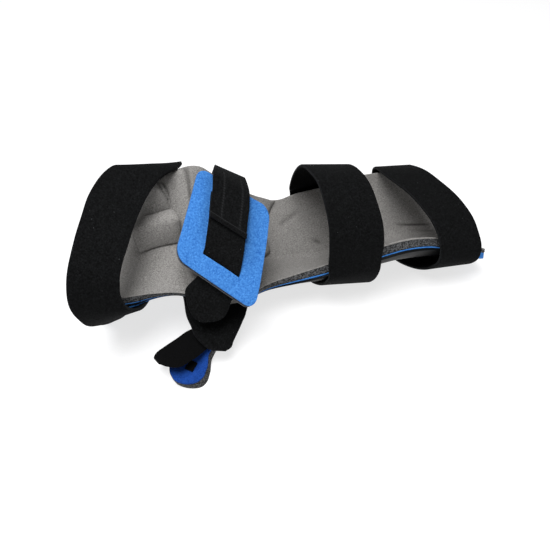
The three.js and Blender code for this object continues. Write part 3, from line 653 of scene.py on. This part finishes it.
# Middle of the webbing at its fingertip-side edge and its elbow-side edge (x, y, z each), over the top
# from the thumb side; the stations at which it goes under the tray: thumb side, middle, far side; and
# where it hangs slack below the thumb side
STRAPS = {
    "mid_strap": {
        "under": ([6.05, 6.05, 6.05], [5.02, 5.02, 5.02]), "reach": 5, "clear": 0.6,
        "top": [
            [66, -48.5, 56, 111, -55, 58],
            [66, -48, 70, 111, -55, 74],
            [66, -45.5, 84, 111, -50, 87],
            [66, -39, 100, 111, -40, 97],
            [66, -27, 111, 111, -27, 104.5],
            [66, -11, 117, 111, -10, 108],
            [66, 7, 114.5, 111, 8, 105.5],
            [66, 22, 109, 111, 23, 99],
            [66, 34, 98, 111, 36, 89],
            [66, 44, 82.5, 111, 47, 77],
            [66, 52, 65, 111, 55, 66],
        ],
        "slack": [
            [65, -11, 3.6, 111, -14, 3.2],
            [66, -28, 14.5, 111, -36, 12],
            [66.5, -43, 30, 111, -50.5, 30],
            [66.5, -50.5, 44, 111, -56, 46],
        ],
    },
    "end_strap": {
        "under": ([2.72, 3.4, 3.18], [0.42, 1.22, 1.5]), "reach": 5, "clear": 0.0,
        "top": [
            [168, -53, 55, 210, -55.5, 44],
            [167, -46, 63.5, 210, -45.5, 53.5],
            [165, -35, 70.5, 209, -36, 60.5],
            [162, -20, 74.5, 206.5, -22, 66],
            [159, -2, 76.5, 203, -8, 70],
            [155.5, 16, 75.5, 199, 8, 71.5],
            [153.5, 36, 72, 195, 29, 70.5],
            [155, 53, 66.5, 194, 50.5, 62],
            [156.3, 60.8, 61.2, 194, 60.5, 55.5],
        ],
        "slack": [
            [154, -10, 3, 202.5, -11, 2.2],
            [158, -24, 7, 204, -25, 5],
            [163, -37, 13, 206, -38, 11],
            [167, -49, 24, 207.5, -49.5, 18.5],
            [168.5, -55.5, 38, 209, -57, 31],
        ],
    },
    "finger_strap": {
        "under": ([14.4, 13.6, 12.8], [12.75, 11.5, 10.65]), "reach": 7, "clear": 2.0,
        "top": [
            [-130, -38.5, 40, -90, -46, 54],
            [-136.5, -47, 60, -99, -52, 64],
            [-139.5, -48.5, 78, -102, -50, 76],
            [-136.5, -44.5, 97, -100.5, -47.5, 88],
            [-129, -32, 111, -97, -42, 96],
            [-119, -12, 121, -90, -31, 103.5],
            [-109, 10, 127, -80, -12, 110],
            [-97, 30, 129, -65, 14, 115],
            [-85.5, 43.5, 126.5, -48.5, 33, 117.5],
            [-79, 53, 116, -34.5, 46, 113.5],
            [-76, 58.5, 97, -30, 58.5, 108.5],
        ],
        "slack": np.empty((0, 6)),
    },
}
FINGER_BOW = 2.8
STRAP_MM = 2.6
STRAP_SEAT = 0.7
STRAP_ROWS = 241
STRAP_COLUMNS = 20
UNDER = np.array([0.97, 0.75, 0.5, 0.25, 0, -0.25, -0.5])


def under_tray(stations, reach, depth):
    """Rows of a strap laid against the outside of the tray, from the far side to the thumb side."""
    rows = []
    for v in reach:
        ends = [tray_over(np.interp(v, (-1, 0, 1), edge), v, -depth) for edge in stations]
        rows.append(np.concatenate(ends))
    return np.array(rows)


def band(table, thick, rows, columns, ring=False, wander=0.0):
    """Middle face of a band of webbing through the lines of its two edges, the way out of it at each
    point, and half its thickness."""
    s = np.arange(rows) / (rows - 1)
    w = np.linspace(0, 1, columns)

    def web(t):
        a, b = (smooth_line(table[:, k:k + 3], t, ring) for k in (0, 3))
        return a[:, None] + (b - a)[:, None] * w[:, None]

    middle, ahead = web(s), web(s + 0.25 / rows) - web(s - 0.25 / rows)
    across = middle[:, -1:] - middle[:, :1]
    lift = unit(np.cross(across, ahead))
    if wander:
        sway = wander * ripples(middle[:, :1], 30, int(table[0, 0]) % 97 + 3)
        middle = middle + unit(across) * sway[..., None]
    return middle, lift, thick / 2


# Nylon loop webbing in black: felted outside with a fine grain and stray pale lint, and a plain
# tight-woven back that is smoother and darker
LINT = {"apart_mm": 8.0, "share": 0.026, "colour": "#4c4e50"}
black_loop = napped_cloth(
    "black_brushed_nylon_loop", "#000000", "#191a1b", "#040404", 1.1, 2.6, 0.008, "#b8bcc4", LINT)
black_back = napped_cloth("black_woven_nylon_back", "#030303", "#0c0c0d", "#070708", 0.9, 9.0, 0.008, "#c4c8d0")
black_cut = napped_cloth("black_cut_nylon_edge", "#0a0a0b", "#222324", "#151617", 0.9, 6.0, 0.02, "#c4c8d0")

for name, strap in STRAPS.items():
    depth = OUTSIDE + strap["clear"] + STRAP_SEAT + STRAP_MM / 2
    below = under_tray(strap["under"], UNDER[:strap["reach"]], depth)
    table = np.vstack([strap["top"], below, strap["slack"]])
    middle, lift, half = band(table, STRAP_MM, STRAP_ROWS, STRAP_COLUMNS, ring=True, wander=0.25)
    if name == "finger_strap":
        turn, w = np.linspace(0, 1, STRAP_ROWS), np.linspace(0, 1, STRAP_COLUMNS)
        arch = FINGER_BOW * np.outer(hump(turn, 0.52, 0.07), 4 * w * (1 - w))
        middle = middle + lift * arch[..., None]
    webbing = lay_sheet(
        name + "_webbing", middle + lift * half, middle - lift * half, 0.7, ring=True, edge_slot=2)
    fasten(webbing, "black_loop", [name], black_loop, black_back, black_cut)
    flat, area = cut_size(middle)


# Hand pad: a soft square pad with rounded corners over the back of the hand, blue loop cloth on thin
# dark foam with a pale knitted lining. The hand strap dives through a slot near its thumb side.

PAD_CORNERS = np.array([[[-21, 27, 123], [-57, -33, 88]], [[29, -5, 92], [-6, -74, 51]]], float)
PAD_ROUND = 0.26
PAD_CROWN = 5
PAD_FACE = 1.2
PAD_FOAM = 4.0
PAD_LINING = 1.0
GAP = 0.3
PAD_HALF_MM = 42
SLOT_ALONG = (0.29, 0.75)
SLOT_ACROSS = (0.775, 0.815)
pad_up = unit(np.cross(PAD_CORNERS[1, 0] - PAD_CORNERS[0, 0], PAD_CORNERS[0, 1] - PAD_CORNERS[0, 0]))
pad_up = pad_up * np.sign(pad_up[2])


def on_pad(a, b, height):
    """Point over the pad: a runs along the arm and b from the far side to the thumb side."""
    a, b = np.asarray(a, float)[..., None], np.asarray(b, float)[..., None]
    far = PAD_CORNERS[0, 0] + (PAD_CORNERS[1, 0] - PAD_CORNERS[0, 0]) * a
    near = PAD_CORNERS[0, 1] + (PAD_CORNERS[1, 1] - PAD_CORNERS[0, 1]) * a
    crown = PAD_CROWN * (1 - (2 * b - 1) ** 2)
    return far + (near - far) * b + pad_up * (np.asarray(height, float)[..., None] + crown)


def with_stops(line, stops):
    """The line's values with the nearest ones moved onto the given stops."""
    line = np.array(line)
    for stop in stops:
        line[np.abs(line - stop).argmin()] = stop
    return line


pad_b = with_stops((np.sin(np.pi * (np.linspace(0, 1, 72) - 0.5)) + 1) / 2, SLOT_ACROSS)
pad_a = with_stops(np.linspace(0, 1, 60), SLOT_ALONG)


def pad_face(height, grow_mm=0.0):
    """Rows of points of one face of the pad, its outline moved in or out."""
    row = 2 * pad_b - 1
    past = np.maximum(np.abs(row) - (1 - PAD_ROUND), 0) / PAD_ROUND
    half = 1 - PAD_ROUND + PAD_ROUND * np.sqrt(np.maximum(1 - past ** 2, 0.002))
    a = (half[:, None] * (2 * pad_a - 1) + 1) / 2
    points = on_pad(a, np.broadcast_to(pad_b[:, None], a.shape), np.full(a.shape, height))
    middle = on_pad(0.5, 0.5, height)
    return points + (points - middle) * (grow_mm / PAD_HALF_MM)


def in_slot(row, column):
    a, b = (pad_a[column] + pad_a[column + 1]) / 2, (pad_b[row] + pad_b[row + 1]) / 2
    return SLOT_ALONG[0] < a < SLOT_ALONG[1] and SLOT_ACROSS[0] < b < SLOT_ACROSS[1]


def strap_sides(b):
    """Where the edges of the hand strap cross the pad, on which it lies a little askew."""
    return 0.19 + 0.135 * b, 0.695 + 0.07 * b


# Knitted polyester lining: pale grey with a close, flat stitch
pale_knit = napped_cloth("pale_knitted_polyester", "#505255", "#75777a", "#636568", 0.9, 6.0, 0.03, "#ffffff")

pad_top = pad_face(PAD_FACE)
pad_top = pad_top + pad_up * (0.35 * ripples(pad_top, 22, 41))[..., None]
strap_left, strap_right = strap_sides(pad_b[:, None])
# Painted shadow: the pad's cloth is darkened beside the hand strap's edges, fading out towards the thumb side.
strap_shadow_mask = hump(np.minimum(pad_a - strap_left, 0), 0, 0.1) * (pad_a < strap_left)
strap_shadow_mask = strap_shadow_mask + hump(np.maximum(pad_a - strap_right, 0), 0, 0.17) * (pad_a > strap_right)
pad_painted_shadow = 0.32 * strap_shadow_mask * np.clip((0.8 - pad_b[:, None]) / 0.25, 0, 1)
hand_pad = lay_sheet(
    "hand_pad_loop_cloth", pad_top, pad_face(-GAP / 2), 0.6, hole=in_slot, marks={"painted_shade": pad_painted_shadow})
fasten(hand_pad, "blue_loop", ["hand_pad_face"], blue_loop, blue_loop)
flat, area = cut_size(pad_top)
pad_core = lay_sheet(
    "hand_pad_foam_core", pad_face(-GAP, -0.4), pad_face(-GAP - PAD_FOAM, -0.4), 0.5, hole=in_slot)
fasten(pad_core, "foam", ["hand_pad_foam"], foam, foam)
lining_top = pad_face(-1.5 * GAP - PAD_FOAM, -0.2)
pad_lining = lay_sheet(
    "hand_pad_lining_knit", lining_top, pad_face(-2 * GAP - PAD_FOAM - PAD_LINING, -0.2), 0.4, hole=in_slot)
fasten(pad_lining, "pad_lining", ["hand_pad_lining"], pale_knit, pale_knit)
flat, area = cut_size(lining_top)


# Hand strap: narrower black webbing in two lengths. The upper one comes up over the far rim and ends
# on the pad in a sewn hem; the lower one starts under it, passes the slot and ends round on the thumb wrap.

HAND_STRAP_MM = 2.0
ABOVE_PAD = PAD_FACE + GAP + HAND_STRAP_MM / 2
BELOW_PAD = -(PAD_FOAM + PAD_LINING + 3 * GAP) - HAND_STRAP_MM / 2
HAND_STRAP_WIDE = 32
HEM_MM = 3.6
SEAMS = (0.3, 0.8)
SEAM_END_MM = 62
STITCH_MM = 2.4
UPPER_COLUMNS = 44


def pad_row(b, height):
    """Edges of the strap where it crosses the pad."""
    return np.concatenate([on_pad(a, b, height) for a in strap_sides(b)])


upper_under = OUTSIDE + STRAP_SEAT + HAND_STRAP_MM / 2
upper_table = np.vstack([
    pad_row(0.47, ABOVE_PAD + HAND_STRAP_MM + GAP),
    pad_row(0.3, ABOVE_PAD + HAND_STRAP_MM + GAP),
    pad_row(0.15, ABOVE_PAD + HAND_STRAP_MM),
    pad_row(0, ABOVE_PAD + 0.6),
    [-5, 43, 110, 20, 37, 95],
    [-3, 55, 101, 23, 54, 80],
    under_tray(([9.1] * 3, [7.95] * 3), [*UNDER[:3], 0.2], upper_under),
])
middle, lift, half = band(upper_table, HAND_STRAP_MM, 220, UPPER_COLUMNS, wander=0.2)
steps = np.linalg.norm(np.diff(middle[:, UPPER_COLUMNS // 2], axis=0), axis=1)
from_end = np.concatenate([[0], np.cumsum(steps)])
w = np.linspace(0, 1, UPPER_COLUMNS)
middle = middle + lift * (1.3 * hump(from_end, 0, 6))[:, None, None]
proud = 0.8 / (1 + np.exp((from_end - HEM_MM) * 3))[:, None] * np.ones(UPPER_COLUMNS)
proud += 0.6 * hump(from_end, HEM_MM, 0.7)[:, None]
stitches = 0.2 * hump(from_end, HEM_MM, 0.5)[:, None] * np.ones(UPPER_COLUMNS)
for seam in SEAMS:
    run = np.clip((from_end - HEM_MM) / 3, 0, 1) * np.clip((SEAM_END_MM - from_end) / 3, 0, 1)
    row = run[:, None] * hump((w - seam) * HAND_STRAP_WIDE, 0, 0.7)
    proud -= 0.4 * row
    stitches += row * (0.13 + 0.12 * np.sin(from_end * 2 * np.pi / STITCH_MM))[:, None]
upper_strap = lay_sheet(
    "hand_strap_upper_webbing", middle + lift * (half + proud)[..., None], middle - lift * half, 0.5,
    edge_slot=2, marks={"thread": np.clip(stitches, 0, 1)})
fasten(upper_strap, "black_loop", ["hand_strap_upper"], black_loop, black_back, black_cut)
flat, area = cut_size(middle)

lower_table = np.vstack([
    pad_row(0.2, ABOVE_PAD),
    pad_row(0.45, ABOVE_PAD),
    pad_row(0.68, ABOVE_PAD),
    pad_row(0.78, ABOVE_PAD - 2),
    pad_row(0.86, BELOW_PAD + 1.5),
    pad_row(0.97, BELOW_PAD - 1),
    [-53.5, -45.5, 62.5, -21, -61, 54],
    [-54, -57, 52.5, -25, -63, 46],
    [-51, -62.5, 46, -29, -65.5, 43],
    [-46, -65, 42.5, -35.5, -66.3, 41.5],
])
middle, lift, half = band(lower_table, HAND_STRAP_MM, 150, 30, wander=0.15)
lower_strap = lay_sheet(
    "hand_strap_lower_webbing", middle - lift * half, middle + lift * half, 0.5, edge_slot=2)
fasten(lower_strap, "black_loop", ["hand_strap_lower"], black_loop, black_back, black_cut)
flat, area = cut_size(middle)


# Thumb rest: a short padded tongue of the same laminate, charcoal foam with a blue loop face, that
# runs out from under the palm and lies on the table.

# Middle of its upper side (x, y, z) and half its width, from the palm to the tip
THUMB = [
    [-46, -57, 15.5, 12.5],
    [-57, -66, 10.8, 14.5],
    [-63, -76, 9, 16],
    [-66, -84.5, 8.6, 14.3],
    [-68.3, -90, 8.6, 10.5],
    [-69.6, -93, 8.6, 5],
]
WRAP_MM = 2.4
WRAP_SEAT = 2.5
THUMB_DEPTH = OUTSIDE + 2 * WRAP_SEAT + WRAP_MM + 4 * GAP
THUMB_FACE = 1.3
THUMB_FOAM = 7.0
THUMB_LEAN = 3.5
# The hidden root: stations along and across the tray, and half the width
THUMB_ROOT = [(9.45, -0.5, 12), (9.6, -0.97, 13.5)]
root = [[*tray_over(u0, v0, -THUMB_DEPTH), wide] for u0, v0, wide in THUMB_ROOT]
thumb_rows = np.array(root + THUMB)


def thumb_face(height, grow_mm=0.0, lean_mm=0.0):
    """Rows of points of one face of the thumb rest, wider or narrower and leaning towards the elbow."""
    t = 1 - (1 - np.linspace(0, 1, 80)) ** 1.4
    line = smooth_line(thumb_rows[:, :3], t)
    ahead = unit(smooth_line(thumb_rows[:, :3], t + 0.02) - smooth_line(thumb_rows[:, :3], t - 0.02))
    across = unit(np.stack([-ahead[:, 1], ahead[:, 0], np.zeros(len(t))], -1))
    up = unit(np.cross(ahead, across))
    up = up * np.sign(up[:, 2:])
    wide = smooth_line(thumb_rows[:, 3:], t)[:, 0] + grow_mm
    tip = np.clip((t - 0.93) / 0.07, 0, 1)
    wide = wide * np.sqrt(np.maximum(1 - tip ** 2 * 0.85, 0.02))
    w = np.linspace(-1, 1, 40)
    line = line + np.outer(lean_mm * t ** 2, (1, 0, 0))
    return line[:, None] + across[:, None] * (wide[:, None] * w)[..., None] + up[:, None] * height


# The same brushed loop with a finer grain, painted a deeper blue: a darker copy that stands for shade on the low
# thumb rest
shaded_blue_loop = napped_cloth("shaded_blue_nylon_loop", "#092560", "#1f4898", "#1e4592", 1.0, 3.5, 0.03, "#9cc6ff")

thumb_top = thumb_face(0, -0.6)
thumb_cloth = lay_sheet("thumb_rest_loop_cloth", thumb_top, thumb_face(-THUMB_FACE - GAP / 2, -0.6), 0.5)
fasten(thumb_cloth, "blue_loop", ["thumb_face"], shaded_blue_loop, shaded_blue_loop)
flat, area = cut_size(thumb_top)
thumb_foam = lay_sheet(
    "thumb_rest_foam", thumb_face(-THUMB_FACE - GAP, -0.3),
    thumb_face(-THUMB_FACE - GAP - THUMB_FOAM, 0.0, THUMB_LEAN), 0.7)
fasten(thumb_foam, "foam", ["thumb_foam"], foam, foam)


# Thumb wrap and thumb strap: a wide black band over the root of the thumb rest, and a narrow one that
# comes out from under it and folds over the thumb space.

# Edges of the wrap on its fingertip side and its elbow side (x, y, z each), down to its rounded end
WRAP = [
    [-56, -47.5, 35, -6, -48, 23.5],
    [-54.5, -57, 31, -11, -57, 25],
    [-54, -64, 29, -18, -65, 21.5],
    [-50, -70, 24, -24, -71.5, 18],
    [-45.5, -74, 20, -27, -75.5, 16],
    [-41, -76, 18, -32, -77.5, 15.5],
]
wrap_table = np.vstack([
    under_tray(([10.8] * 3, [8.75] * 3), [-0.6, -0.97], OUTSIDE + WRAP_SEAT + WRAP_MM / 2), WRAP])
WRAP_BOW = 2.6
WRAP_ROWS = 80
WRAP_COLUMNS = 50
middle, lift, half = band(wrap_table, WRAP_MM, WRAP_ROWS, WRAP_COLUMNS, wander=0.15)
slack = 1 - np.clip((np.linspace(0, 1, WRAP_ROWS) - 0.1) / 0.4, 0, 1)
w = np.linspace(0, 1, WRAP_COLUMNS)
bow = np.outer(slack ** 2 * (3 - 2 * slack), WRAP_BOW * 4 * w * (1 - w))
middle = middle + lift * bow[..., None]
wrap = lay_sheet("thumb_wrap_webbing", middle - lift * half, middle + lift * half, 0.6, edge_slot=2)
fasten(wrap, "black_loop", ["thumb_wrap"], black_loop, black_back, black_cut)
flat, area = cut_size(middle)

# Edges of the thumb strap on its far side and its near side, from under the wrap to the folded end
THUMB_STRAP_MM = 1.8
THUMB_LOOP = np.array([
    [-48, -55, 27, -42, -68, 16],
    [-58, -58.5, 29, -54, -77, 18],
    [-68, -62.5, 27.5, -63, -82, 19.5],
    [-77.5, -65, 25, -71, -84.3, 19.5],
    [-85.5, -65.5, 20, -79.5, -80.5, 18],
    [-88, -65.5, 14.5, -85.5, -71.5, 14.2],
    [-85.5, -64, 9.5, -84, -69, 9.2],
    [-80.5, -62.5, 6, -80.5, -67, 5.8],
])
middle, lift, half = band(THUMB_LOOP, THUMB_STRAP_MM, 120, 30, wander=0.1)
thumb_strap = lay_sheet("thumb_strap_webbing", middle - lift * half, middle + lift * half, 0.5)
fasten(thumb_strap, "black_loop", ["thumb_strap"], black_back, black_loop)
flat, area = cut_size(middle)


# Thumb tab: a small square of black woven tape on the blue face of the thumb rest, folded flat and sewn
# down with a shallow dent along its middle.

TAB_MM = (7.0, 9.0, 1.2)
TAB_TURN = -0.73
share = np.linspace(-0.5, 0.5, 15)
Y, X = np.meshgrid(share * TAB_MM[1], share * TAB_MM[0], indexing="ij")
dome = 0.25 * np.cos(np.pi * X / TAB_MM[0]) - 0.2 * hump(X, 0, 0.8)
turned = [X * math.cos(TAB_TURN) - Y * math.sin(TAB_TURN), X * math.sin(TAB_TURN) + Y * math.cos(TAB_TURN)]
tab_top = TAB_MIDDLE + np.stack([*turned, 0.35 + dome], -1)
tab_bottom = TAB_MIDDLE + np.stack([*turned, np.full(X.shape, -TAB_MM[2] / 2)], -1)
tab = lay_sheet("thumb_rest_tab", tab_top, tab_bottom, 0.25)
fasten(tab, "black_loop", ["thumb_tab"], black_back, black_back)
